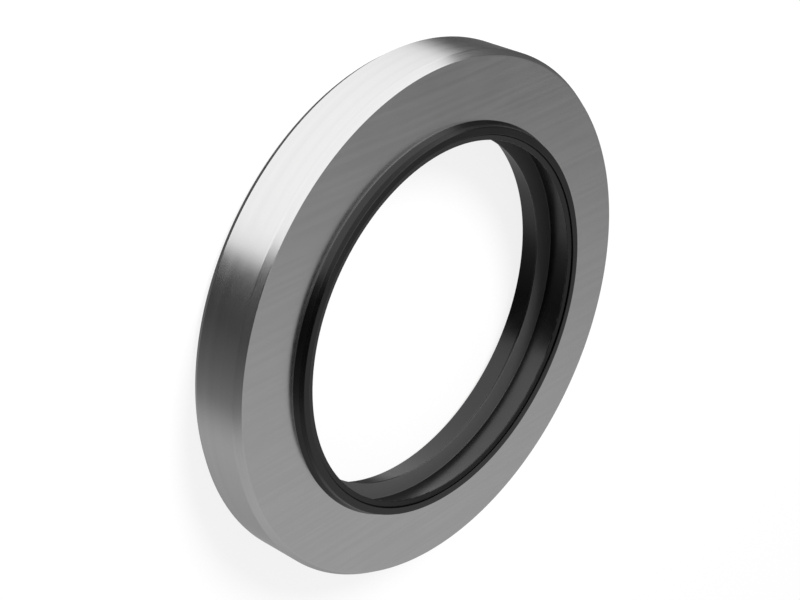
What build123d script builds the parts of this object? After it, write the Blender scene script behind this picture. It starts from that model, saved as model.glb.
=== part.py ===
"""Lip seal with a steel case, for a 50 mm shaft in a 72 mm housing bore.

The seal lies flat on the rim of its case. The origin is the centre of that rim, and +Z points
along the axis towards the flat front of the case. Every piece is turned about the axis, from
a half section whose first number is the radius and whose second is the height. All sizes are
in millimetres.
"""
from build123d import *
import os

# Sizes of the machine that the seal fits
shaft_d = 50.0
housing_d = 72.0

# Steel case: a drawn cup with an open back, a flat front flange and a hole for the shaft
case_width = 8.2
press_allowance = 0.1        # the case is this much wider than the housing bore
sheet = 1.2                  # thickness of the steel
lead_in_height = 0.95        # chamfers at both ends of the outer cylinder
lead_in_depth = 0.6
flange_clearance = 2.05      # from the shaft to the edge of the flange's hole
inside_bend = 0.6            # corner between the flange and the cylinder, inside

# Front of the rubber: a raised collar with a stepped ring that ends in the dust lip
collar_height = 1.35         # above the flange's front
collar_waist_height = 0.65   # where the collar's outer wall gets steeper
collar_waist_lean = 0.37     # how far the wall has leaned inwards there
collar_top_lean = 0.5        # and at the top
collar_edge = 0.1            # chamfer round the collar's front
rim_width = 0.98             # flat top of the collar, outside the step
step_depth = 0.2
dust_lip_drop = 0.31         # from the collar's top down to the dust lip's edge
dust_lip_interference = 0.5  # the free dust lip is this much narrower than the shaft
dust_lip_edge = 0.15         # thickness of the dust lip at its edge
dust_lip_root = 1.15         # from the collar's top to the dust lip's root, inside the bore

# Bore of the rubber: the space behind the dust lip, the main lip and the tail
space_clearance = 1.1        # from the shaft to the bore's wall at the dust lip's root
valley_depth = 3.3           # below the flange's front
valley_clearance = 1.3       # from the shaft to the bottom of the valley
lip_depth = 4.15             # from the flange's front to the middle of the lip's edge
lip_interference = 1.3       # the free lip is this much narrower than the shaft
lip_land = 0.2               # width of the lip's contact band
heel_depth = 0.7             # behind the contact band, where the lip's back ends in a heel
heel_clearance = 0.35        # from the shaft to the heel
tail_gap = 0.4               # from the rubber's end to the case's rim
tail_clearance = 0.62        # from the shaft to the tail's end

# Outside of the rubber, behind the flange
neck_wall = 1.2              # rubber between the valley and the outside
neck_root = 0.6              # chamfer between the neck and the pad
pad_thickness = 1.0          # rubber bonded to the underside of the flange
pad_gap = 1.5                # from the pad's edge to the case's cylinder
pad_edge = 0.4
tail_wall = 0.85
tail_edge = 0.2

# Garter spring, seated in a groove round the outside of the lip
spring_coil_d = 1.8          # across the wound coil
spring_flats = 12            # the coil's envelope is drawn with flats, to stay light
spring_offset = 0.55         # the spring lies this much nearer the tail than the lip's edge
spring_play = 0.02           # the groove is this much larger all round
lip_wall = 1.1               # rubber between the bore and the bottom of the groove
head_hold = 0.5              # rubber past the coil's centre, on the neck's side
tail_hold = 0.15             # and on the tail's side, over which the spring was slipped in

# Places worked out from the sizes above
shaft_r = shaft_d / 2
case_r = (housing_d + press_allowance) / 2
case_inner_r = case_r - sheet
front_z = case_width
flange_z = front_z - sheet
flange_hole_r = shaft_r + flange_clearance

collar_z = front_z + collar_height
collar_r = flange_hole_r - collar_top_lean
rim_inner_r = collar_r - rim_width
dust_lip_r = shaft_r - dust_lip_interference / 2
dust_lip_z = collar_z - dust_lip_drop

space_r = shaft_r + space_clearance
valley_r = shaft_r + valley_clearance
valley_z = front_z - valley_depth
lip_r = shaft_r - lip_interference / 2
land_front_z = front_z - lip_depth + lip_land / 2
land_back_z = land_front_z - lip_land
heel_r = shaft_r + heel_clearance
tail_r = shaft_r + tail_clearance
tail_outer_r = tail_r + tail_wall

neck_r = valley_r + neck_wall
pad_r = case_inner_r - pad_gap
pad_z = flange_z - pad_thickness

spring_z = front_z - lip_depth - spring_offset
lip_back_slope = (heel_r - lip_r) / heel_depth
bore_r_at_spring = lip_r + lip_back_slope * (land_back_z - spring_z)
groove_radius = spring_coil_d / 2 + spring_play
groove_r = bore_r_at_spring + lip_wall + groove_radius


def half_section(*points):
    """A closed half section through the points, standing in the plane of the axis."""
    return Plane.XZ * make_face(Polyline(*points, close=True))


def bevelled(section, corner, size):
    """Cut the corner of a half section that lies nearest the given point."""
    radius, height = corner
    nearest = section.vertices().sort_by_distance((radius, 0, height))[0]
    return chamfer(nearest, size)


def coil_section(ring_r, coil_radius):
    """A coil's cut end, with one of its flats towards the axis."""
    outline = RegularPolygon(coil_radius, spring_flats, major_radius=False)
    return Plane.XZ * Pos(ring_r, spring_z) * Rot(0, 0, 180 / spring_flats) * outline


def turned(section):
    """Turn a half section once round the axis."""
    return revolve(section, Axis.Z)


def metal_case():
    section = half_section(
        (flange_hole_r, front_z),
        (case_r - lead_in_depth, front_z),
        (case_r, front_z - lead_in_height),
        (case_r, lead_in_height),
        (case_r - lead_in_depth, 0),
        (case_inner_r, 0),
        (case_inner_r, flange_z),
        (flange_hole_r, flange_z),
    )
    return turned(bevelled(section, (case_inner_r, flange_z), inside_bend))


def sealing_element():
    section = half_section(
        (flange_hole_r, front_z),
        (flange_hole_r - collar_waist_lean, front_z + collar_waist_height),
        (collar_r, collar_z),
        (rim_inner_r, collar_z),
        (rim_inner_r, collar_z - step_depth),
        (dust_lip_r, dust_lip_z),
        (dust_lip_r, dust_lip_z - dust_lip_edge),
        (space_r, collar_z - dust_lip_root),
        (valley_r, valley_z),
        (lip_r, land_front_z),
        (lip_r, land_back_z),
        (heel_r, land_back_z - heel_depth),
        (tail_r, tail_gap),
        (tail_outer_r, tail_gap),
        (groove_r + tail_hold, spring_z),
        (groove_r + head_hold, spring_z),
        (neck_r, pad_z),
        (pad_r, pad_z),
        (pad_r, flange_z),
        (flange_hole_r, flange_z),
    )
    section = bevelled(section, (collar_r, collar_z), collar_edge)
    section = bevelled(section, (tail_outer_r, tail_gap), tail_edge)
    section = bevelled(section, (neck_r, pad_z), neck_root)
    section = bevelled(section, (pad_r, pad_z), pad_edge)
    return turned(section - coil_section(groove_r, groove_radius))


def garter_spring():
    """The envelope of the closed-wound coil, drawn tight on the bottom of its groove."""
    return turned(coil_section(groove_r - spring_play, spring_coil_d / 2))


os.makedirs("parts", exist_ok=True)
export_step(metal_case(), "parts/metal_case.step")
export_step(sealing_element(), "parts/sealing_element.step")
export_step(garter_spring(), "parts/garter_spring.step")
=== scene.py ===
# %% [markdown]
# # A lip seal with a steel case
#
# This lesson dresses a radial shaft seal. A drawn steel case is pressed into a housing bore, and it holds a ring of
# black rubber. The rubber has a raised collar with a dust lip in front, and behind it a sealing lip that a small
# coiled spring keeps tight on the shaft.
#
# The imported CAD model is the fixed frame. It has the right sizes, but its corners are sharp and its spring is drawn
# as a plain ring, so each of its three solids gets a finer surface here, in the same place and to the same sizes.

import bpy
import numpy as np
from mathutils import Matrix, Vector


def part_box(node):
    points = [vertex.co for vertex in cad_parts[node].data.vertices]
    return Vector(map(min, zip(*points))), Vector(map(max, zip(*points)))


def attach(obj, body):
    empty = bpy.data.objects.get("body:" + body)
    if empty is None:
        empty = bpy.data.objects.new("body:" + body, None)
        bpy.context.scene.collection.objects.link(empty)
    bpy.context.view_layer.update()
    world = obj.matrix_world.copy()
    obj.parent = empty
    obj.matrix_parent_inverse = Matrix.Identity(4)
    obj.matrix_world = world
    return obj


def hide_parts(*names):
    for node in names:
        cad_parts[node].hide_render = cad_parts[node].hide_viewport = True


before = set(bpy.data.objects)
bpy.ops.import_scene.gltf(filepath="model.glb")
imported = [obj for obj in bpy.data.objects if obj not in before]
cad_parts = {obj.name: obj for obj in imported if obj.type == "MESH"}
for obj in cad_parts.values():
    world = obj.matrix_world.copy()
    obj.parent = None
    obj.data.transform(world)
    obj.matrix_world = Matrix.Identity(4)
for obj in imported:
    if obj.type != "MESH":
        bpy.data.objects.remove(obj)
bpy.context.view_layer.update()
MM = 0.001
print("solids:", sorted(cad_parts))

# %% [markdown]
# ## An outline with soft corners
#
# Every part of a seal is round about one axis, so its shape is all in the outline of its half section. No real corner
# is perfectly sharp: a punch, a lathe or a mould leaves a small radius, and that radius is what catches the light.
#
# A Bevel modifier could round the corners afterwards. Here the outline is rounded before it is turned, because then
# each corner has its own radius and the surface stays one clean grid.

# %% An arc in each corner
TINY = 1e-8  # shorter than this counts as nothing
ARC_POINTS = 5


def unit(vectors):
    """Each vector divided by its own length."""
    return vectors / np.maximum(np.linalg.norm(vectors, axis=-1, keepdims=True), TINY)


def arcs(corners, to_behind, to_ahead, radii):
    """The points of an arc in every corner at once, from the directions to the corners behind and ahead of it.

    An arc touches both sides at radius / tan(half the corner's angle) from the corner. Its centre is on the line
    that halves the angle, at radius / sin(half the angle), and its points turn evenly about that centre: each is a
    mix of the arc's first and last point, by the sines of the two parts of the turn.
    """
    half = 0.5 * np.arccos(np.clip((to_ahead * to_behind).sum(1), -1, 1))
    reach = (radii / np.tan(half))[:, None]
    centre = corners + unit(to_ahead + to_behind) * (radii / np.sin(half))[:, None]
    first, last = corners + to_behind * reach, corners + to_ahead * reach
    turn = np.maximum(np.pi - 2 * half, TINY)[:, None, None]
    step = np.linspace(0, 1, ARC_POINTS)[None, :, None]
    from_first = (first - centre)[:, None] * np.sin((1 - step) * turn)
    from_last = (last - centre)[:, None] * np.sin(step * turn)
    return centre[:, None] + (from_first + from_last) / np.sin(turn)


print("points on an arc:", ARC_POINTS)

# %% [markdown]
# ## Guard points
#
# Smooth shading bends the light over a whole face, so a wide flat face next to a small radius would look dished. Sharp
# edges or a Weighted Normal modifier could prevent that. Two guard points beyond each end of an arc do it in the
# outline itself, and they also end what is marked as the edge close to the corner.

# %% The whole outline
GUARDS = np.array([0.3, 0.05]) * MM  # how far the guard points lie from the arc, the outer one first
GUARD_ROOM = 0.3                     # but never further than this share of the corner's shorter side
GUARD_FADE = [0.0, 0.8]              # how strongly each is marked as a part of the edge


def soften(corners, radii):
    """A closed outline with each corner rounded, and how far each point lies on an edge or in a crease.

    The outline goes anticlockwise, so it turns left at an edge and right at a crease. Points that coincide, as at a
    corner of no radius, become one.
    """
    ahead, behind = np.roll(corners, -1, axis=0) - corners, np.roll(corners, 1, axis=0) - corners
    to_ahead, to_behind = unit(ahead), unit(behind)
    arc = arcs(corners, to_behind, to_ahead, radii)
    room = GUARD_ROOM * np.minimum(np.linalg.norm(ahead, axis=1), np.linalg.norm(behind, axis=1))
    guard = (np.minimum(GUARDS, room[:, None]) * (radii > 0)[:, None])[:, :, None]
    before = arc[:, :1] + to_behind[:, None] * guard
    after = arc[:, -1:] + to_ahead[:, None] * guard[:, ::-1]
    points = np.concatenate([before, arc, after], axis=1).reshape(-1, 2)
    fade = np.array([GUARD_FADE + [1.0] * ARC_POINTS + GUARD_FADE[::-1]])
    bend = to_behind[:, 0] * to_ahead[:, 1] - to_behind[:, 1] * to_ahead[:, 0]
    edge, crease = ((fade * (side & (radii > 0))[:, None]).ravel() for side in (bend < 0, bend > 0))
    new = np.linalg.norm(points - np.roll(points, 1, axis=0), axis=1) > TINY
    return points[new], edge[new], crease[new]


print("each rounded corner becomes", ARC_POINTS + 2 * len(GUARDS), "points")

# %% [markdown]
# ## From arrays to a mesh
#
# A surface with two parameters is a grid of points, and each cell of the grid is a face. The pieces of this seal are
# all closed: an outline that goes round meets itself, and so does one turn round the axis. Only the spring's wire has
# two ends, which get a cap each. The points could be added one by one with bmesh, but a whole array goes into the
# mesh at once, which is quicker and shorter.
#
# The finishes need to know where an edge is or what was cut on a lathe. Such numbers are stored on the mesh as
# attributes, one number for each point, and the materials read them by name.

# %% Meshes from grids of points
def mesh_from_grid(name, grid, open_ends=False):
    """A closed mesh from points in rows and columns. Columns always meet; rows meet too, or end in a cap.

    The point in a row and column has the number row * columns + column, so a cell's corners are its own point, the
    next one in the row, and the two with the same columns in the next row.
    """
    rows, columns = grid.shape[:2]
    row = np.arange(rows - open_ends)[:, None] * columns
    next_row = (row + columns) % (rows * columns)
    column = np.arange(columns)[None]
    next_column = (column + 1) % columns
    cell = [row + column, row + next_column, next_row + next_column, next_row + column]
    faces = np.stack(cell, axis=-1).reshape(-1, 4).tolist()
    if open_ends:
        faces += [column[0, ::-1].tolist(), (column[0] + (rows - 1) * columns).tolist()]
    mesh = bpy.data.meshes.new(name)
    mesh.from_pydata(grid.reshape(-1, 3), [], faces)
    mesh.shade_smooth()
    return mesh


def store(mesh, **numbers):
    """Puts one number for each point on the mesh, under the given names."""
    for name, values in numbers.items():
        kept = mesh.attributes.new(name, "FLOAT", "POINT")
        kept.data.foreach_set("value", values.astype(np.float32).ravel())


print("helpers for meshes ready")

# %% [markdown]
# ## A finished piece
#
# A mesh becomes a part of the seal when an object carries it. The object stays at the origin, because the place is
# in the mesh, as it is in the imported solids. Moving the object there instead would shift every pattern that is laid
# out on the seal's own axis.

# %% Placing a piece
def place(mesh, solid):
    """The finished piece: it rides on the one body and stands for its CAD solid, which it hides."""
    piece = bpy.data.objects.new(mesh.name, mesh)
    bpy.context.scene.collection.objects.link(piece)
    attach(piece, "root")
    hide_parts(solid)
    mesh.calc_loop_triangles()
    for label, corners in (("the piece", piece.bound_box), ("its CAD solid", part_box(solid))):
        print(f"{mesh.name}: {label} measures {np.round(np.ptp(np.array(corners), axis=0) / MM, 2)} mm")
    print(f"{mesh.name}: {len(mesh.loop_triangles)} triangles")
    return piece


print("ready to place pieces")

# %% [markdown]
# ## Turning an outline round the axis
#
# The same thing that a lathe does: the outline stands still, and the work goes round. The result is exact all the
# way round, which a Screw modifier would also give, but here the arrays also carry the edges and the other marks.

# %% Turning
TURN_STEPS = 400


def turned(name, corners, radii, **marks):
    """The surface that a rounded outline sweeps out on its way round the axis.

    A point at radius r and height z goes to (r cos angle, r sin angle, z) for each of the evenly spaced angles.
    Each mark is a rule that gives a number from the radius and the height.
    """
    outline, edge, crease = soften(corners, radii)
    angle = np.linspace(0, 2 * np.pi, TURN_STEPS, endpoint=False)[None]
    r, z = outline[:, :1] + 0 * angle, outline[:, 1:] + 0 * angle
    mesh = mesh_from_grid(name, np.stack([r * np.cos(angle), r * np.sin(angle), z], axis=-1))
    store(mesh, edge=edge[:, None] + 0 * angle, crease=crease[:, None] + 0 * angle)
    store(mesh, **{label: rule(r, z) for label, rule in marks.items()})
    return mesh


print("one turn is", TURN_STEPS, "steps")

# %% [markdown]
# ## The steel case
#
# The case is pressed from 1.2 mm sheet: a short cylinder that grips the housing bore, and a flat flange with a hole
# for the shaft. Both ends of the cylinder are chamfered on a lathe, so that it starts into the bore, and the cylinder
# is skimmed to size. The bend inside keeps the radius of the punch.
#
# A thin surface with a Solidify modifier would give a wall of even thickness. The chamfers make this wall thinner at
# both ends of the cylinder, so the outline of the whole wall is given instead. Its outer radius and its width are
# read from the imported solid. The corners go anticlockwise as radius and height.
#
# One mark is stored: where the lathe has cut, which is the outermost 0.7 mm.

# %% The case
low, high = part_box("metal_case")
CASE_RADIUS, CASE_WIDTH = round((high.x - low.x) / 2, 5), round(high.z, 5)
SHEET, HOLE_RADIUS = 1.2 * MM, 27.05 * MM
CHAMFER_DEPTH, CHAMFER_HEIGHT = 0.6 * MM, 0.95 * MM
PUNCH_RADIUS, LATHE_CORNER, SHEARED_CORNER = 1.0 * MM, 0.05 * MM, 0.06 * MM
COVERED_CORNER = 0.015 * MM  # under the collar's foot, rounded only for the sake of its guard points
LATHED_FROM = CASE_RADIUS - CHAMFER_DEPTH - 0.1 * MM

case_corners = np.array([
    (HOLE_RADIUS, CASE_WIDTH - SHEET),
    (CASE_RADIUS - SHEET, CASE_WIDTH - SHEET),
    (CASE_RADIUS - SHEET, 0),
    (CASE_RADIUS - CHAMFER_DEPTH, 0),
    (CASE_RADIUS, CHAMFER_HEIGHT),
    (CASE_RADIUS, CASE_WIDTH - CHAMFER_HEIGHT),
    (CASE_RADIUS - CHAMFER_DEPTH, CASE_WIDTH),
    (HOLE_RADIUS, CASE_WIDTH),
])
case_radii = np.array([SHEARED_CORNER, PUNCH_RADIUS] + [SHEARED_CORNER] * 2 + [LATHE_CORNER] * 3 + [COVERED_CORNER])
case = place(
    turned("steel_case", case_corners, case_radii, lathe=lambda r, z: r > LATHED_FROM),
    "metal_case",
)

# %% [markdown]
# ## The rubber ring
#
# The rubber is moulded onto the case in one shot. In front it stands up as a collar with a stepped ring, whose inner
# edge is the dust lip. Behind that lip the bore widens into a space down to a valley, narrows to the sealing lip, and
# widens over the lip's back to the tail. Round the outside of the lip runs the groove for the spring, and a pad of
# rubber is bonded under the flange.
#
# Separate rings for the collar, the lips and the pad would be easier to draw, but they would leave seams that a
# moulding doesn't have, so the whole section is one outline.
#
# The groove is a true arc. Its points come from the circle that fits the spring: they start at the mouth on the
# tail's side, go round the bottom of the groove, and end at the mouth on the neck's side.

# %% The spring's groove
SPRING_HEIGHT = 3.5 * MM
GROOVE_RING, GROOVE_RADIUS, GROOVE_POINTS = 27.013 * MM, 0.92 * MM, 28
MOUTH_ON_TAIL, MOUTH_ON_NECK = np.radians([-93.4, 57.4])
MOUTH_CORNER = 0.04 * MM

around = np.linspace(MOUTH_ON_TAIL, MOUTH_ON_NECK - 2 * np.pi, GROOVE_POINTS)
groove = np.stack([GROOVE_RING + GROOVE_RADIUS * np.cos(around), SPRING_HEIGHT + GROOVE_RADIUS * np.sin(around)], 1)
groove_softness = np.zeros(GROOVE_POINTS)
groove_softness[[0, -1]] = MOUTH_CORNER
print("the mouth's corners in mm:", np.round(groove[[0, -1]] / MM, 2).tolist())

# %% [markdown]
# ## The rubber's outline and marks
#
# The rest of the outline is a list of corners, because a mould's section is drawn that way too: radius, height, and
# how soft the corner is.
#
# Three marks are stored for the finish. The running band is where the lip rubs on the shaft: a bell curve over the
# height, on the lip's edge alone. The painted flank is the slope in front of that edge, as far as the valley, where the
# rubber gets a lighter grey as a painted reflection. The greased space is the rest of the bore's wall, up to the dust
# lip.

# %% The rubber
BORE_CORNERS = np.array([  # from the collar's foot over the dust lip and the sealing lip to the tail
    (27.05, 8.2, 0.04), (26.68, 8.85, 0.5), (26.55, 9.55, 0.08), (25.57, 9.55, 0.05), (25.57, 9.24, 0.03),
    (25.50, 9.24, 0.03), (25.44, 9.333, 0.03), (24.75, 9.24, 0.05), (24.75, 9.09, 0.05), (26.1, 8.4, 0.25),
    (26.3, 4.9, 0.1), (24.35, 4.15, 0.08), (24.35, 3.95, 0.08), (25.35, 3.25, 0.2), (25.62, 0.4, 0.1),
    (26.47, 0.4, 0.25),
]) * MM
BACK_CORNERS = np.array([  # from the neck to the pad and the hole's edge
    (27.5, 6.0, 1.0), (33.35, 6.0, 0.6), (33.35, 7.0, 0.04), (27.05, 7.0, 0.0),
]) * MM
LIP_HEIGHT, RUN_HEIGHT, RUN_REACH = 4.05 * MM, 0.2 * MM, 25 * MM
FLANK_FOOT, FLANK_TOP, SPACE_TOP, SPACE_REACH = 4.1 * MM, 4.93 * MM, 9.2 * MM, 26.4 * MM

rubber_corners = np.concatenate([BORE_CORNERS[:, :2], groove, BACK_CORNERS[:, :2]])
rubber_radii = np.concatenate([BORE_CORNERS[:, 2], groove_softness, BACK_CORNERS[:, 2]])
rubber = place(
    turned(
        "rubber_ring", rubber_corners, rubber_radii,
        running=lambda r, z: np.exp(-(((z - LIP_HEIGHT) / RUN_HEIGHT) ** 2)) * (r < RUN_REACH),
        # the flank's mark: where a lighter grey is painted on as a reflection
        trimmed=lambda r, z: (r < SPACE_REACH) & (z > FLANK_FOOT) & (z < FLANK_TOP),
        greased=lambda r, z: (r < SPACE_REACH) & (z > FLANK_TOP) & (z < SPACE_TOP),
    ),
    "sealing_element",
)

# %% [markdown]
# ## The garter spring
#
# The spring is a long closed coil of thin wire, bent into a ring. One end is wound narrower and screwed into the
# other end, which makes the joint. Its turns touch on the inside of the ring and open a little on the outside.
#
# The wire's centre line is a helix on a ring: it turns about the ring's centre line many times while it goes round
# once. A tube follows that line, and each cross-section of the tube is a circle across the line's direction. A curve
# with a round bevel could make the same tube. Here it is worked out, because the helix already says which way is
# outwards at each point, and so the tube doesn't twist. The wire has few sides, since there are hundreds of turns.

# %% The coil of wire
SPRING_RING, COIL_RADIUS, WIRE = 26.993 * MM, 0.9 * MM, 0.35 * MM
SPRING_TURNS, NIB_TURNS, TAPER_TURNS = 468, 9, 1.6
NIB_STEP = 1.04 * WIRE  # how much narrower the screwed-in end is wound
STEPS_PER_TURN, WIRE_SIDES = 16, 8


def coiled_wire(name):
    """The wire's skin as a grid, along the wire and round it, and how long the wire is.

    The centre line is at ring radius + coil radius * cos(winding) from the axis, and at coil radius * sin(winding)
    above the spring's middle. The winding turns evenly with the angle round the axis. Over the last turns the coil
    narrows by one wire and a bit, so that it fits inside the first turns. The skin is the centre line plus half a
    wire in the directions across it: one points away from the coil's own middle, the other is square to that.
    """
    turn = np.linspace(0, SPRING_TURNS + NIB_TURNS, (SPRING_TURNS + NIB_TURNS) * STEPS_PER_TURN + 1)
    winding, angle = 2 * np.pi * turn, 2 * np.pi * turn / SPRING_TURNS
    taper = np.clip((turn - SPRING_TURNS + TAPER_TURNS) / TAPER_TURNS, 0, 1)
    coil = (COIL_RADIUS - WIRE / 2) - NIB_STEP * taper * taper * (3 - 2 * taper)
    away = np.stack([np.cos(angle), np.sin(angle), 0 * angle], 1)
    up = np.array([0.0, 0.0, 1.0])
    outwards = away * np.cos(winding)[:, None] + up * np.sin(winding)[:, None]
    line = away * SPRING_RING + up * SPRING_HEIGHT + outwards * coil[:, None]
    along = unit(np.gradient(line, axis=0))
    across = unit(np.cross(along, outwards))
    square = np.cross(across, along)
    side = np.linspace(0, 2 * np.pi, WIRE_SIDES, endpoint=False)[None, :, None]
    grid = line[:, None] + WIRE / 2 * (np.cos(side) * square[:, None] + np.sin(side) * across[:, None])
    return mesh_from_grid(name, grid, open_ends=True), np.linalg.norm(np.diff(line, axis=0), axis=1).sum()


spring_mesh, wire_length = coiled_wire("coiled_spring")
spring = place(spring_mesh, "garter_spring")
print(f"the wire is {wire_length:.2f} m long")

# %% [markdown]
# ## Building finishes from nodes
#
# A finish is a small network of nodes. It could be drawn by hand in the shader editor. Written down, it can be read
# line by line, and a few helpers keep the lines short: one adds a node and joins its inputs, and the others are
# small steps that are needed again and again.

# %% Helpers for nodes
def join(tree, node, inputs):
    """Fills a node's inputs with numbers, colours or outputs of other nodes."""
    for name, value in inputs.items():
        if isinstance(value, bpy.types.NodeSocket):
            tree.links.new(value, node.inputs[name])
        else:
            node.inputs[name].default_value = value


def add(tree, kind, inputs=None, out=0, **settings):
    """Adds a node, joins its inputs and gives one of its outputs."""
    node = tree.nodes.new("ShaderNode" + kind)
    for name, value in settings.items():
        setattr(node, name, value)
    join(tree, node, inputs or {})
    return node.outputs[out] if node.outputs else None


def calc(tree, operation, first, second=0.0):
    """One step of arithmetic on numbers that change over the surface."""
    return add(tree, "Math", {0: first, 1: second}, operation=operation)


def moved(tree, value, cause, amount, middle=0.0):
    """The value plus an amount times (cause - middle): how one effect pushes another up or down."""
    push = calc(tree, "SUBTRACT", cause, middle) if middle else cause
    return calc(tree, "ADD", value, calc(tree, "MULTIPLY", push, amount))


def stretch(tree, value, low, high, to_low=0.0, to_high=1.0):
    """The value moved from one range to another, with soft ends."""
    ends = {"Value": value, "From Min": low, "From Max": high, "To Min": to_low, "To Max": to_high}
    return add(tree, "MapRange", ends, interpolation_type="SMOOTHSTEP")


print("helpers for nodes ready")

# %% Helpers for places and clouds
def parts_of(tree, vector):
    """A vector's X, Y and Z, by name."""
    return add(tree, "SeparateXYZ", {0: vector}).node.outputs


def scaled(tree, vector, times):
    """A vector made longer or shorter."""
    return add(tree, "VectorMath", {0: vector, "Scale": times}, operation="SCALE")


def noise(tree, where, scale=1.0, detail=2.0, roughness=0.5, **more):
    """Soft random cloud, from 0 to 1. With a fourth number, W, the cloud also changes with that."""
    inputs = {"Vector": where, "Scale": scale, "Detail": detail, "Roughness": roughness, **more}
    return add(tree, "TexNoise", inputs, noise_dimensions="4D" if "W" in more else "3D")


print("helpers for places ready")

# %% [markdown]
# ## Effects that finishes share
#
# Steel and rubber both have lathe marks, clouds and rubbed edges. Copying those nodes into each material would work,
# but an effect in a node group is built once, and each material places it with its own values.

# %% Helpers for groups
def start_group(name, inputs, outputs):
    """An empty node group: its tree, its input sockets by name, and the node that its results go into."""
    tree = bpy.data.node_groups.new(name, "ShaderNodeTree")
    for label, value in inputs.items():
        kind = "NodeSocketVector" if value is None else "NodeSocketFloat"
        socket = tree.interface.new_socket(label, in_out="INPUT", socket_type=kind)
        if value is not None:
            socket.default_value = value
    for label in outputs:
        tree.interface.new_socket(label, in_out="OUTPUT", socket_type="NodeSocketFloat")
    return tree, tree.nodes.new("NodeGroupInput").outputs, tree.nodes.new("NodeGroupOutput").inputs


def use_group(tree, group, inputs):
    """Places a group in a material with its own values, and gives its outputs."""
    node = tree.nodes.new("ShaderNodeGroup")
    node.node_tree = group
    join(tree, node, inputs)
    return node.outputs


def in_steps(tree, where, size):
    """The place counted in steps of a size in millimetres, so that a cloud in it has spots of about that size."""
    return scaled(tree, where, calc(tree, "DIVIDE", 1 / MM, size))


print("helpers for groups ready")

# %% [markdown]
# ## Marks that run round the axis
#
# A lathe leaves fine grooves that all run round the part, and so does a mould that was cut on one. Seen across the
# grooves they are close together, and along them they change slowly. A Wave texture with rings would draw them too,
# but as even as a gramophone record.
#
# The group turns each place into four numbers: how far it is from the axis and how high, divided by the pitch, and
# the direction round the axis as a cosine and a sine. A random cloud in those four numbers has such marks, and no
# seam where the angle starts again. The same cloud on a larger scale gives bands, where the tool cut a little
# differently.

# %% The group of marks round the axis
BAND_SCALE = 0.18  # a band is as wide as five or six marks


def make_round_marks():
    tree, given, result = start_group("round marks", {"Place": None, "Pitch mm": 0.1, "Run": 1.5}, ["Marks", "Bands"])
    parts = parts_of(tree, given["Place"])
    flat = add(tree, "CombineXYZ", {"X": parts["X"], "Y": parts["Y"]})
    radius = add(tree, "VectorMath", {0: flat}, out="Value", operation="LENGTH")
    heading = scaled(tree, add(tree, "VectorMath", {0: flat}, operation="NORMALIZE"), given["Run"])
    per_pitch = calc(tree, "DIVIDE", 1 / MM, given["Pitch mm"])
    across = add(tree, "CombineXYZ", {"Z": calc(tree, "MULTIPLY", radius, per_pitch)})
    where = add(tree, "VectorMath", {0: heading, 1: across}, operation="ADD")
    height = calc(tree, "MULTIPLY", parts["Z"], per_pitch)
    tree.links.new(noise(tree, where, detail=3.0, roughness=0.6, W=height), result["Marks"])
    tree.links.new(noise(tree, where, scale=BAND_SCALE, detail=1.0, W=height), result["Bands"])
    return tree


round_marks = make_round_marks()
print("round marks:", len(round_marks.nodes), "nodes")

# %% [markdown]
# ## Clouds, rubbed edges and scratches
#
# Three more effects are shared. Clouds are slow changes of tone, a few millimetres across, as oil, handling and the
# works leave them. Rubbed edges follow the edge numbers stored on the mesh, broken up by a cloud so that no edge is
# rubbed evenly. Scratches are short thin lines in two directions, from clouds that are stretched to more than fifty
# times their width and cut off near their tops.
#
# The renderer can also find edges by itself, with a Bevel or a Geometry node. The stored numbers are surer: they say
# which corners are edges, whatever the mesh is like.

# %% The groups of clouds, edges and scratches
CLOUD_ENDS = (0.3, 0.7)                      # the cloud's own greys that become 0 and 1
EDGE_BREAKS, WORN_ENDS = 1.2, (0.35, 1.0)    # how strongly the cloud breaks an edge, and what is left of it
EDGE_FADE = 4.0                              # how fast the rubbing fades in beside an edge
SCRATCH_SETS = ((23, 0.0), (-58, 40.0))      # direction in degrees, and a shift that makes the second set differ
SCRATCH_SHAPE = (0.008, 0.45, 0.2)           # along the line, across it, and into the surface
SCRATCH_ENDS = (0.74, 0.80)                  # only the top of the cloud shows


def make_clouds():
    tree, given, result = start_group("clouds", {"Place": None, "Size mm": 4.0}, ["Cloud"])
    cloud = noise(tree, in_steps(tree, given["Place"], given["Size mm"]), detail=4.0, roughness=0.55)
    tree.links.new(stretch(tree, cloud, *CLOUD_ENDS), result["Cloud"])
    return tree


def make_rubbed_edges():
    tree, given, result = start_group("rubbed edges", {"Place": None, "Edge": 0.0, "Size mm": 0.8}, ["Rub"])
    cloud = noise(tree, in_steps(tree, given["Place"], given["Size mm"]), detail=3.0)
    worn = stretch(tree, moved(tree, given["Edge"], cloud, EDGE_BREAKS, middle=0.5), *WORN_ENDS)
    on_edge = calc(tree, "MINIMUM", calc(tree, "MULTIPLY", given["Edge"], EDGE_FADE), 1.0)
    tree.links.new(calc(tree, "MULTIPLY", worn, on_edge), result["Rub"])
    return tree


def make_scratches():
    tree, given, result = start_group("scratches", {"Place": None, "Width mm": 0.07, "Amount": 0.5}, ["Scratch"])
    where = in_steps(tree, given["Place"], given["Width mm"])
    found = 0.0
    for angle, shift in SCRATCH_SETS:
        turned_place = add(tree, "VectorRotate", {"Vector": where, "Angle": np.radians(angle)}, rotation_type="Z_AXIS")
        shape = {0: turned_place, 1: SCRATCH_SHAPE, 2: (shift, 0, 0)}
        lines = noise(tree, add(tree, "VectorMath", shape, operation="MULTIPLY_ADD"), detail=0.0)
        found = calc(tree, "MAXIMUM", stretch(tree, lines, *SCRATCH_ENDS), found)
    tree.links.new(calc(tree, "MULTIPLY", found, given["Amount"]), result["Scratch"])
    return tree


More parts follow.
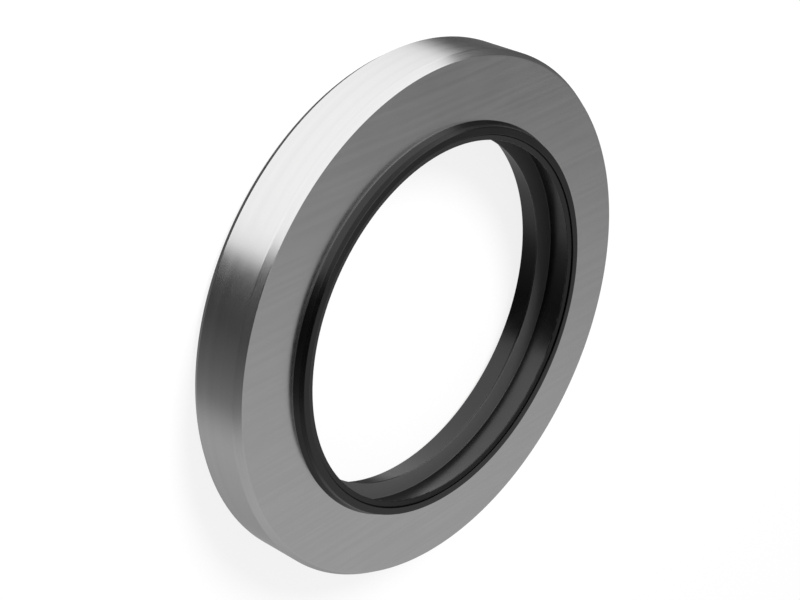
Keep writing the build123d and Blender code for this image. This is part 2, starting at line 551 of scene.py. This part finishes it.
clouds, rubbed_edges, scratches = make_clouds(), make_rubbed_edges(), make_scratches()
print("shared effects:", [group.name for group in (clouds, rubbed_edges, scratches)])

# %% [markdown]
# ## The start of a material
#
# Every finish starts the same way: a Principled shader, and the place on the object in the object's own measures.
# Generated coordinates would stretch with the piece's box. Object coordinates are in metres, so a mark that is
# written as 0.2 mm is 0.2 mm wide on each piece.

# %% Helpers for materials
def start_material(name):
    """A material with a Principled shader: its tree, the shader's inputs and the place on the object."""
    material = bpy.data.materials.new(name)
    material.use_nodes = True
    tree = material.node_tree
    shader = tree.nodes["Principled BSDF"]
    return material, tree, shader.inputs, add(tree, "TexCoord", out="Object")


def finish_material(tree, shader, tone, rough, height, relief):
    """Joins the three things that change over the surface. The relief is how deep the bump would be if it were real."""
    tree.links.new(tone, shader["Base Color"])
    tree.links.new(rough, shader["Roughness"])
    tree.links.new(add(tree, "Bump", {"Height": height, "Distance": relief, "Strength": 1.0}), shader["Normal"])


def attribute(tree, name):
    """A number that was stored on the mesh."""
    return add(tree, "Attribute", out="Fac", attribute_name=name)


def grey(level, warm=0.0):
    """A grey with a slight warm or cool cast."""
    return (level * (1 + warm), level, level * (1 - warm), 1.0)


def blend(tree, share, first, second):
    """A colour between two colours."""
    return add(tree, "Mix", {"Factor": share, "A": first, "B": second}, out=2, data_type="RGBA")


def tinted(tree, tone, cause, share, colour):
    """The tone moved towards a colour where the cause is strong, and by no more than the share."""
    return blend(tree, calc(tree, "MULTIPLY", cause, share), tone, colour)


print("helpers for materials ready")

# %% [markdown]
# ## The finish of the steel case
#
# Bright cold-rolled sheet: a plain grey metal, satin rather than polished, so that it mirrors its surroundings
# softly. The face keeps the faint straight grain of the rolling mill, in fine lines and in broader streaks. The
# cylinder and the chamfers have the fine round marks and the bands of the lathe. Handling leaves clouds in the gloss,
# a few hairline scratches and slightly brighter edges.
#
# Metal has no colour of its own under the mirror, so Metallic is 1 everywhere, and all the detail is in how rough
# each place is, in tiny changes of tone and in a bump that is far too shallow to model. The Anisotropic setting would
# stretch the reflections across the grain instead, but then the grain itself wouldn't be seen.

# %% The grain of the steel
GRAIN_LENGTH, GRAIN_WIDTH, STREAK_SCALE = 5 * MM, 0.16 * MM, 0.22


def steel_grain(tree, here):
    """The fine grain and the broad streaks: straight on the sheet, and round the axis where the lathe has cut."""
    marks = use_group(tree, round_marks, {"Place": here, "Pitch mm": 0.22, "Run": 1.2})
    steps = (1 / GRAIN_LENGTH, 1 / GRAIN_WIDTH, 1 / GRAIN_WIDTH)
    along_sheet = add(tree, "VectorMath", {0: here, 1: steps}, operation="MULTIPLY")
    lathe = attribute(tree, "lathe")
    fine = {"Factor": lathe, "A": noise(tree, along_sheet), "B": marks["Marks"]}
    broad = {"Factor": lathe, "A": noise(tree, scaled(tree, along_sheet, STREAK_SCALE)), "B": marks["Bands"]}
    return add(tree, "Mix", fine, data_type="FLOAT"), add(tree, "Mix", broad, data_type="FLOAT")


print(f"mill streaks are about {GRAIN_WIDTH / STREAK_SCALE / MM:.1f} mm wide")

# %% The steel's nodes
STREAK_ENDS, STREAK_GREYS = (0.3, 0.7), (grey(0.586), grey(0.622))
CLOUD_GREY, CLOUD_SHARE = grey(0.612, 0.003), 0.35
RUBBED_STEEL, RUBBED_SHARE = grey(0.68), 0.12
STEEL_ROUGHNESS = (0.21, 0.235)
STREAK_PUSH, GRAIN_PUSH, SPOT_PUSH, RUBBED_PUSH = 0.08, 0.04, 0.01, -0.05
STEEL_RELIEF, STEEL_RIM = 0.0005 * MM, grey(0.7)


def make_steel():
    material, tree, shader, here = start_material("bright case steel")
    grain, streaks = steel_grain(tree, here)
    cloud = use_group(tree, clouds, {"Place": here, "Size mm": 6.0})[0]
    spots = use_group(tree, clouds, {"Place": here, "Size mm": 1.3})[0]
    rub = use_group(tree, rubbed_edges, {"Place": here, "Edge": attribute(tree, "edge"), "Size mm": 0.9})[0]
    scratch = use_group(tree, scratches, {"Place": here, "Width mm": 0.07, "Amount": 0.5})[0]

    tone = blend(tree, stretch(tree, streaks, *STREAK_ENDS), *STREAK_GREYS)
    tone = tinted(tree, tone, cloud, CLOUD_SHARE, CLOUD_GREY)
    tone = tinted(tree, tone, rub, RUBBED_SHARE, RUBBED_STEEL)
    rough = moved(tree, stretch(tree, cloud, 0, 1, *STEEL_ROUGHNESS), streaks, STREAK_PUSH, middle=0.5)
    rough = moved(tree, rough, spots, SPOT_PUSH)
    rough = moved(tree, rough, grain, GRAIN_PUSH, middle=0.5)
    rough = moved(tree, rough, rub, RUBBED_PUSH)
    finish_material(tree, shader, tone, rough, calc(tree, "SUBTRACT", grain, scratch), STEEL_RELIEF)
    shader["Metallic"].default_value, shader["Specular Tint"].default_value = 1.0, STEEL_RIM
    return material


case.data.materials.append(make_steel())
print("steel:", len(case.active_material.node_tree.nodes), "nodes")

# %% [markdown]
# ## The finish of the rubber
#
# Nitrile rubber filled with carbon black is one of the blackest things in a workshop: nearly all that comes back
# from it is the soft mirror of its skin. The mould was turned, so its fine round marks are on the rubber too. The
# skin has a faint grey bloom in places, is duller in the creases, and is rubbed to a shine on edges and on the lip.
#
# Two places differ. The flank in front of the sealing lip gets a matt dark grey, far lighter than the rest of the
# rubber:
# a painted reflection, standing in for the studio that the dust lip hides from this slope. The space between the two
# lips is greased, which adds a thin coat with a softer shine.
#
# Three materials on three sets of faces could do this, but one material that reads the stored marks keeps the bloom
# and the mould's marks running on from one place to the next.

# %% The rubber's nodes
# the flank's grey is a painted reflection, far lighter than the rubber's own black
RUBBER_GREYS, PAINTED_FLANK_GREY = (grey(0.0002), grey(0.0008)), grey(0.058)
CREASE_GREY, CREASE_SHARE = grey(0.0012), 0.6
RUBBED_BLACK, SHINE_SHARE = grey(0.0003), 0.6
RUBBER_ROUGHNESS = (0.22, 0.27)
PAINTED_FLANK_PUSH, PORE_PUSH, RUNNING_PUSH, SHINE_PUSH = 0.3, 0.06, -0.06, -0.08
PORE_SIZE, RUBBER_RELIEF, MARK_SHARE = 0.09 * MM, 0.0008 * MM, 0.8
GREASE_COAT, GREASE_ROUGHNESS, RUBBER_IOR = 0.25, 0.3, 1.5


def make_rubber():
    material, tree, shader, here = start_material("black nitrile rubber")
    marks = use_group(tree, round_marks, {"Place": here, "Pitch mm": 0.18, "Run": 0.9})["Marks"]
    bloom = use_group(tree, clouds, {"Place": here, "Size mm": 3.5})[0]
    rub = use_group(tree, rubbed_edges, {"Place": here, "Edge": attribute(tree, "edge"), "Size mm": 0.7})[0]
    pores = noise(tree, scaled(tree, here, 1 / PORE_SIZE), detail=3.0, roughness=0.6)
    trimmed = attribute(tree, "trimmed")

    tone = tinted(tree, blend(tree, bloom, *RUBBER_GREYS), attribute(tree, "crease"), CREASE_SHARE, CREASE_GREY)
    tone = tinted(tree, tone, rub, SHINE_SHARE, RUBBED_BLACK)
    # painted reflection: the flank's slope gets the lighter grey
    tone = blend(tree, trimmed, tone, PAINTED_FLANK_GREY)
    rough = moved(tree, stretch(tree, bloom, 0, 1, *RUBBER_ROUGHNESS), trimmed, PAINTED_FLANK_PUSH)
    rough = moved(tree, rough, attribute(tree, "running"), RUNNING_PUSH)
    rough = moved(tree, rough, pores, PORE_PUSH, middle=0.5)
    rough = moved(tree, rough, rub, SHINE_PUSH)
    finish_material(tree, shader, tone, rough, moved(tree, pores, marks, MARK_SHARE), RUBBER_RELIEF)
    tree.links.new(calc(tree, "MULTIPLY", attribute(tree, "greased"), GREASE_COAT), shader["Coat Weight"])
    shader["IOR"].default_value, shader["Coat Roughness"].default_value = RUBBER_IOR, GREASE_ROUGHNESS
    return material


rubber.data.materials.append(make_rubber())
print("rubber:", len(rubber.active_material.node_tree.nodes), "nodes")

# %% [markdown]
# ## The finish of the spring
#
# Drawn spring wire is a dull grey metal, a little darker and warmer where its oil lies thicker, and finely roughened
# by the die it was drawn through. Marks along the wire could be laid out on a UV map, but the wire is only a third of
# a millimetre thick. So one fine cloud serves for both its roughness and its bump, and the shared clouds give the oil.

# %% The wire's nodes
WIRE_GREYS, WIRE_ROUGHNESS = (grey(0.36, 0.03), grey(0.48, 0.01)), (0.24, 0.38)
DRAWN_ENDS, DRAWN_SIZE, WIRE_RELIEF = (0.3, 0.7), 0.06 * MM, 0.0005 * MM


def make_wire():
    material, tree, shader, here = start_material("drawn spring wire")
    oil = use_group(tree, clouds, {"Place": here, "Size mm": 1.2})[0]
    drawn = noise(tree, scaled(tree, here, 1 / DRAWN_SIZE))
    rough = stretch(tree, drawn, *DRAWN_ENDS, *WIRE_ROUGHNESS)
    finish_material(tree, shader, blend(tree, oil, *WIRE_GREYS), rough, drawn, WIRE_RELIEF)
    shader["Metallic"].default_value = 1.0
    return material


spring.data.materials.append(make_wire())
print("wire:", len(spring.active_material.node_tree.nodes), "nodes")

# %% [markdown]
# ## The floor
#
# A plain pale floor, wide enough that no view sees its end. A stronger lamp could make it white, but would bleach
# the seal too. So the camera sees it almost as bright as white paper by its own glow, plus the light that falls on
# it, and the seal keeps a faint soft shadow. Light that bounces off the floor onto the seal comes from plain pale
# paper.

# %% Floor
FLOOR_SIZE, FLOOR_DROP = 6.0, 0.02 * MM  # the floor is a hair below the seal, so that the two don't coincide

floor_points = np.array([(-1, -1, 0), (1, -1, 0), (1, 1, 0), (-1, 1, 0)]) * FLOOR_SIZE / 2 - (0, 0, FLOOR_DROP)
floor_mesh = bpy.data.meshes.new("floor")
floor_mesh.from_pydata(floor_points, [], [(0, 1, 2, 3)])
floor = bpy.data.objects.new("floor", floor_mesh)
bpy.context.scene.collection.objects.link(floor)
print("floor:", FLOOR_SIZE, "m")

# %% The floor's nodes
FLOOR_GLOW, FLOOR_PAPER, BOUNCE_PAPER = 0.83, 0.2, 0.8


def start_shader_tree(owner):
    """An empty node tree for a material or a world, and what kind of ray is asking."""
    owner.use_nodes = True
    owner.node_tree.nodes.clear()
    return owner.node_tree, add(owner.node_tree, "LightPath").node.outputs


def seen_by_camera(tree, rays):
    """1 for a ray that goes to the camera, straight or through glass."""
    return calc(tree, "MAXIMUM", rays["Is Camera Ray"], rays["Is Transmission Ray"])


def make_floor():
    material = bpy.data.materials.new("pale paper floor")
    tree, rays = start_shader_tree(material)
    bounce = add(tree, "BsdfDiffuse", {"Color": grey(BOUNCE_PAPER)})
    paper = add(tree, "BsdfDiffuse", {"Color": grey(FLOOR_PAPER)})
    glow = add(tree, "Emission", {"Color": grey(1.0), "Strength": FLOOR_GLOW})
    white = add(tree, "AddShader", {0: paper, 1: glow})
    mixed = add(tree, "MixShader", {0: seen_by_camera(tree, rays), 1: bounce, 2: white})
    add(tree, "OutputMaterial", {"Surface": mixed})
    return material


floor_mesh.materials.append(make_floor())
floor.visible_glossy = False
print("the floor's material:", len(floor.active_material.node_tree.nodes), "nodes")

# %% [markdown]
# ## What the steel mirrors
#
# Metal shows its surroundings, so they decide how it looks. In the photograph the case mirrors a studio that is
# bright above, has a dark gap at its horizon and is a middle grey below. On the floor the seal lies on its back, so
# the top of the picture is the +Y side here. Real boards and boxes could stand round the seal, but they would show
# in other views, and a world only has to answer which tone lies in which direction.
#
# The room is a row of greys from the bottom of the picture to its top, held in a colour ramp. The softboxes are the
# brightest thing there, so they are plain white. The greys are divided by the softboxes' strength, and the whole is
# multiplied by it again at the end.

# %% The room
SOFTBOX_GLOW = 1.43
ROOM_TILT = (-0.058, 1.0, 0.0)  # the way up in the room
ROOM_TONES = [  # height in the room, and how bright it is there
    (-1.0, 0.53), (-0.90, 0.54), (-0.74, 0.51), (-0.66, 0.52), (-0.60, 0.54), (-0.57, 0.52), (-0.50, 0.415),
    (-0.44, 0.295), (-0.41, 0.23), (-0.22, 0.15), (0.06, 0.07), (0.30, 0.08), (1.0, 0.15),
]


def height_along(tree, toward, axis):
    """How far a direction points along an axis: the sum of the products of their parts."""
    return add(tree, "VectorMath", {0: toward, 1: axis}, out="Value", operation="DOT_PRODUCT")


def room_greys(tree, toward):
    """The grey of the room in a direction, from the row of tones."""
    up = height_along(tree, toward, ROOM_TILT)
    share = add(tree, "MapRange", {"Value": up, "From Min": -1.0, "From Max": 1.0})
    ramp = tree.nodes.new("ShaderNodeValToRGB")
    tree.links.new(share, ramp.inputs[0])
    stops = ramp.color_ramp.elements
    while len(stops) < len(ROOM_TONES):
        stops.new(0.5)  # anywhere, because all places are set next
    for stop, (height, level) in zip(stops, ROOM_TONES):
        stop.position, stop.color = (height + 1) / 2, grey(level / SOFTBOX_GLOW)
    return ramp.outputs[0]


print("the room has", len(ROOM_TONES), "tones")

# %% [markdown]
# ## Two softboxes
#
# Two softboxes stand before the room: a large one on the +Y side, and a small one in front that mostly the chamfers
# mirror. Both end towards +X, where a wall glows faintly. Their borders are soft, and each is given as the two
# places between which it fades. An image of a studio would do the same, but here each border has a name and can be
# moved by itself.

# %% The softboxes
LARGE_BOX_SIDE, LARGE_BOX_EDGE = (0.20, 1.0, -0.13), (0.275, 0.335)
SMALL_BOX_FRONT, SMALL_BOX_FOOT, SMALL_BOX_LEFT = (0.55, 0.70), (-0.20, -0.06), (-0.50, -0.30)
BOXES_RIGHT = (0.69, 0.79)
RIGHT_GLOW, RIGHT_WALL = 0.055, (0.72, 0.84)


def softboxes(tree, toward):
    """How much of a softbox there is in a direction, from 0 to 1."""
    sides = parts_of(tree, toward)
    large_box = stretch(tree, height_along(tree, toward, LARGE_BOX_SIDE), *LARGE_BOX_EDGE)
    small_box = stretch(tree, sides["Y"], *SMALL_BOX_FOOT)
    small_box = calc(tree, "MULTIPLY", small_box, stretch(tree, sides["Z"], *SMALL_BOX_FRONT))
    small_box = calc(tree, "MULTIPLY", small_box, stretch(tree, sides["X"], *SMALL_BOX_LEFT))
    both = calc(tree, "MAXIMUM", large_box, small_box)
    both = calc(tree, "MULTIPLY", both, stretch(tree, sides["X"], *BOXES_RIGHT, 1.0, 0.0))
    return calc(tree, "MAXIMUM", both, stretch(tree, sides["X"], *RIGHT_WALL, 0.0, RIGHT_GLOW))


print("softbox brightness:", SOFTBOX_GLOW)

# %% [markdown]
# ## The world
#
# One background for all rays would either turn the steel flat white or the picture's ground dark. So the world gives
# each kind of ray its own answer: the camera sees white, mirrors see that soft studio, and matt surfaces get plain
# even light.

# %% World
EVEN_LIGHT = 0.35


def make_world():
    world = bpy.data.worlds.new("studio")
    tree, rays = start_shader_tree(world)
    toward = add(tree, "TexCoord", out="Generated")
    studio = blend(tree, softboxes(tree, toward), room_greys(tree, toward), grey(1.0))
    mirrored = add(tree, "Background", {"Color": studio, "Strength": SOFTBOX_GLOW})
    even = add(tree, "Background", {"Color": grey(1.0), "Strength": EVEN_LIGHT})
    white = add(tree, "Background", {"Color": grey(1.0), "Strength": 1.0})
    lit = add(tree, "MixShader", {0: rays["Is Glossy Ray"], 1: even, 2: mirrored})
    add(tree, "OutputWorld", {"Surface": add(tree, "MixShader", {0: seen_by_camera(tree, rays), 1: lit, 2: white})})
    return world


bpy.context.scene.world = make_world()
print("world:", len(bpy.context.scene.world.node_tree.nodes), "nodes")

# %% [markdown]
# ## The lamp
#
# One soft lamp on the +Y side lights the matt surfaces and draws the shadow. It stands half way up, so that its light
# goes over the dust lip and reaches the far side of the bore. A lamp straight above would light the bore all round.
# It is left out of mirrors, because the world already holds what they show.

# %% Softbox lamp
LAMP_SIZE, LAMP_POWER = 0.25, 3.3
LAMP_PLACE = Vector((0.116, 0.405, 0.42))

lamp = bpy.data.lights.new("softbox", "AREA")
lamp.shape, lamp.size, lamp.energy = "DISK", LAMP_SIZE, LAMP_POWER
softbox = bpy.data.objects.new("softbox", lamp)
softbox.location, softbox.rotation_euler = LAMP_PLACE, LAMP_PLACE.to_track_quat("Z", "Y").to_euler()
softbox.visible_glossy = False
bpy.context.scene.collection.objects.link(softbox)
print("lamp:", LAMP_POWER, "W")

# %% [markdown]
# ## The camera
#
# The camera looks down at the seal from 37 degrees above the floor. The photograph shows the seal standing, so the
# camera is also rolled, until the seal stands in the picture as it does there.
#
# A Track To constraint could aim the camera, but it would keep the camera level. So its three directions are given
# outright: to the right, up and back, each as a direction in the seal's own frame.

# %% Camera
EYE = (-0.15901, 0.11796, 0.14857)
RIGHT, UP, BACK = (0.68114, 0.0, 0.73215), (0.34849, 0.87945, -0.32421), (-0.64389, 0.47598, 0.59903)

lens = bpy.data.cameras.new("camera")
lens.lens, lens.sensor_width = 83.97, 36.0
lens.clip_start, lens.clip_end = 0.01, 20.0
camera = bpy.data.objects.new("camera", lens)
turned_to = Matrix([RIGHT, UP, BACK]).transposed()
camera.matrix_world = Matrix.Translation(EYE) @ turned_to.to_4x4()
bpy.context.scene.collection.objects.link(camera)
bpy.context.scene.camera = camera
bpy.context.scene.view_settings.view_transform = "Standard"
print("camera", round(np.linalg.norm(EYE), 3), "m from the seal")
